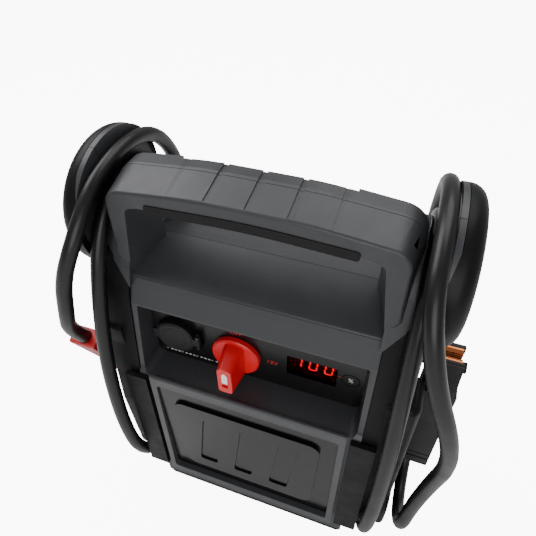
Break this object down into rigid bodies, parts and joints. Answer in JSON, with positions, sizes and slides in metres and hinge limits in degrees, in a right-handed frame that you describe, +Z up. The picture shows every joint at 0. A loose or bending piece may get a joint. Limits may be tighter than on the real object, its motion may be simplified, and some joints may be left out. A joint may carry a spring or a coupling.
{
  "type": "car battery charger",
  "caption": "Portable 12 V car battery charger and starter pack: handled case with rotary switch, red numeric display, capped socket, and clamp leads wrapped over side hooks.",
  "frame": {"origin": "on the floor under the middle of the case, clamps and leads left out", "axes": "+X to the object's own left (the viewer's right), +Y to the back, +Z up; the control panel faces -Y"},
  "size_m": [0.3263, 0.1993, 0.3978],
  "materials": {
    "grey_shell": "fine moulded texture, satin",
    "handle_grip": "soft matte rubber strip",
    "frame_grey": "satin moulded",
    "badge_black": "gloss",
    "side_black": "fine moulded texture, matte",
    "hook_black": "matte moulded",
    "panel_black": "semi-gloss printed panel",
    "display_window": "tinted, clear",
    "display_case": "moulded",
    "circuit_board": "solder-masked board",
    "knob_red": "satin gloss moulded",
    "marker_white": "painted",
    "steel": "turned and zinc plated",
    "switch_case": "glass-filled moulding",
    "socket_black": "moulded",
    "contact_brass": "turned",
    "cap_black": "moulded, semi-matte",
    "battery_case": "moulded case",
    "battery_lead": "cast lead alloy",
    "base_black": "moulded",
    "foot_rubber": "moulded",
    "sounder_black": "moulded",
    "fuse_body": "moulded over plated copper",
    "inlet_black": "moulded",
    "flap_black": "moulded",
    "clamp_red": "moulded grips",
    "clamp_black": "moulded grips",
    "jaw_copper": "copper plated",
    "lead_black": "smooth welding-cable jacket"
  },
  "bodies": {
    "housing": {"front_shell": "grey_shell", "rear_shell": "grey_shell", "grip_insert": "handle_grip", "badge_frame": "frame_grey", "badge_plate": "badge_black", "right_side_cover": "side_black", "left_side_cover": "side_black", "right_hook_cover": "hook_black", "left_hook_cover": "hook_black", "right_gland": "lead_black", "left_gland": "lead_black", "panel_plate": "panel_black", "display_lens": "display_window", "display_module": "display_case", "control_board": "circuit_board", "selector_switch": "switch_case", "socket_barrel": "socket_black", "socket_contact": "contact_brass", "socket_pin": "steel", "battery": "battery_case", "battery_terminals": "battery_lead", "battery_strap": "steel", "base_tray": "base_black", "rubber_feet": "foot_rubber", "charger_board": "circuit_board", "buzzer": "sounder_black", "fuse_link": "fuse_body", "charging_inlet": "inlet_black", "flap_pin": "steel", "case_screws": "steel", "black_lead": "lead_black", "red_lead": "lead_black", "red_clamp_lead_half": "clamp_red", "red_clamp_pin": "steel", "red_clamp_spring": "steel", "red_clamp_lead_jaw": "jaw_copper", "black_clamp_lead_half": "clamp_black", "black_clamp_pin": "steel", "black_clamp_spring": "steel", "black_clamp_lead_jaw": "jaw_copper"},
    "selector": {"selector_knob": "knob_red", "knob_marker": "marker_white", "selector_shaft": "steel"},
    "socket_cap": {"socket_cap": "cap_black"},
    "inlet_flap": {"inlet_flap": "flap_black"},
    "red_jaw": {"red_clamp_moving_half": "clamp_red", "red_clamp_moving_jaw": "jaw_copper"},
    "black_jaw": {"black_clamp_moving_half": "clamp_black", "black_clamp_moving_jaw": "jaw_copper"}
  },
  "joints": [
    {"name": "selector_turn", "type": "hinge", "parent": "housing", "child": "selector", "pos_m": [-0.0145, -0.05, 0.231], "axis": [0, 1, 0], "range_deg": [0, 90]},
    {"name": "socket_cap_hinge", "type": "hinge", "parent": "housing", "child": "socket_cap", "pos_m": [-0.0476, -0.05045, 0.237], "axis": [0, 0, 1], "range_deg": [0, 110]},
    {"name": "inlet_flap_hinge", "type": "hinge", "parent": "housing", "child": "inlet_flap", "pos_m": [0, 0.06425, 0.095], "axis": [1, 0, 0], "range_deg": [0, 150]},
    {"name": "red_clamp_jaw", "type": "hinge", "parent": "housing", "child": "red_jaw", "pos_m": [-0.149, -0.0229, 0.14216], "axis": [1, 0, 0], "range_deg": [0, 15], "stiffness_Nm_per_rad": 1.5, "springref_deg": -17.19},
    {"name": "black_clamp_jaw", "type": "hinge", "parent": "housing", "child": "black_jaw", "pos_m": [0.149, -0.00557, 0.19418], "axis": [1, 0, 0], "range_deg": [0, 15], "stiffness_Nm_per_rad": 1.5, "springref_deg": -17.19}
  ]
}
